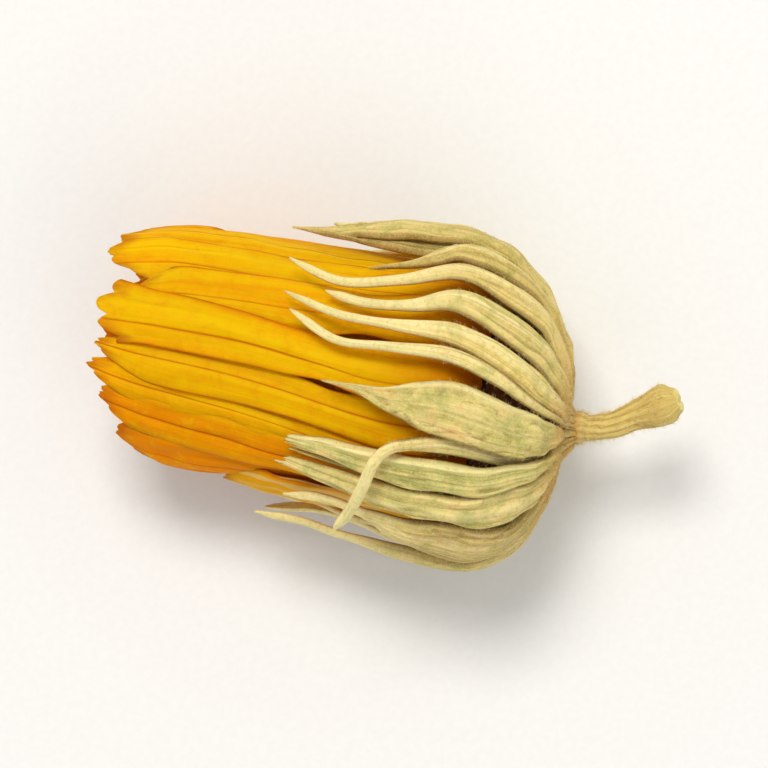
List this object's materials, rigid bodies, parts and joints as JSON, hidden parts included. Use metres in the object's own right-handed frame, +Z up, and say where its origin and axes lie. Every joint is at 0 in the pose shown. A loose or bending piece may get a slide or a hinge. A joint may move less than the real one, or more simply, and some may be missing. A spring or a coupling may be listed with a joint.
{
  "type": "dried marigold flower",
  "caption": "Closed head of a dried marigold lying on its side: golden petals held by thin curling green bracts, with a short cut stem.",
  "frame": {"origin": "on the surface that the flower lies on, under the middle of its bounding box", "axes": "the head lies along X, with its cut stem at +X and its petal tips at -X; +Z is up from the surface"},
  "size_m": [0.0286, 0.0162, 0.0145],
  "materials": {
    "stem": "matte",
    "receptacle": "matte",
    "disc_florets": "matte",
    "outer_bract": "matte",
    "inner_bract": "matte",
    "outer_petal": "satin",
    "inner_petal": "satin"
  },
  "bodies": {
    "root": {"stem": "stem", "receptacle": "receptacle", "disc_florets": "disc_florets", "outer_bract_01": "outer_bract", "outer_bract_02": "outer_bract", "outer_bract_03": "outer_bract", "outer_bract_04": "outer_bract", "outer_bract_05": "outer_bract", "outer_bract_06": "outer_bract", "outer_bract_07": "outer_bract", "outer_bract_08": "outer_bract", "outer_bract_09": "outer_bract", "outer_bract_10": "outer_bract", "outer_bract_11": "outer_bract", "outer_bract_12": "outer_bract", "outer_bract_13": "outer_bract", "outer_bract_14": "outer_bract", "outer_bract_15": "outer_bract", "outer_bract_16": "outer_bract", "outer_bract_17": "outer_bract", "outer_bract_18": "outer_bract", "inner_bract_01": "inner_bract", "inner_bract_02": "inner_bract", "inner_bract_03": "inner_bract", "inner_bract_04": "inner_bract", "inner_bract_05": "inner_bract", "inner_bract_06": "inner_bract", "inner_bract_07": "inner_bract", "inner_bract_08": "inner_bract", "inner_bract_09": "inner_bract", "inner_bract_10": "inner_bract", "outer_petal_01": "outer_petal", "outer_petal_02": "outer_petal", "outer_petal_03": "outer_petal", "outer_petal_04": "outer_petal", "outer_petal_05": "outer_petal", "outer_petal_06": "outer_petal", "outer_petal_07": "outer_petal", "outer_petal_08": "outer_petal", "outer_petal_09": "outer_petal", "outer_petal_10": "outer_petal", "outer_petal_11": "outer_petal", "outer_petal_12": "outer_petal", "outer_petal_13": "outer_petal", "outer_petal_14": "outer_petal", "outer_petal_15": "outer_petal", "middle_petal_01": "inner_petal", "middle_petal_02": "inner_petal", "middle_petal_03": "inner_petal", "middle_petal_04": "inner_petal", "middle_petal_05": "inner_petal", "middle_petal_06": "inner_petal", "middle_petal_07": "inner_petal", "middle_petal_08": "inner_petal", "middle_petal_09": "inner_petal", "inner_petal_01": "inner_petal", "inner_petal_02": "inner_petal", "inner_petal_03": "inner_petal", "inner_petal_04": "inner_petal", "inner_petal_05": "inner_petal"}
  },
  "joints": []
}
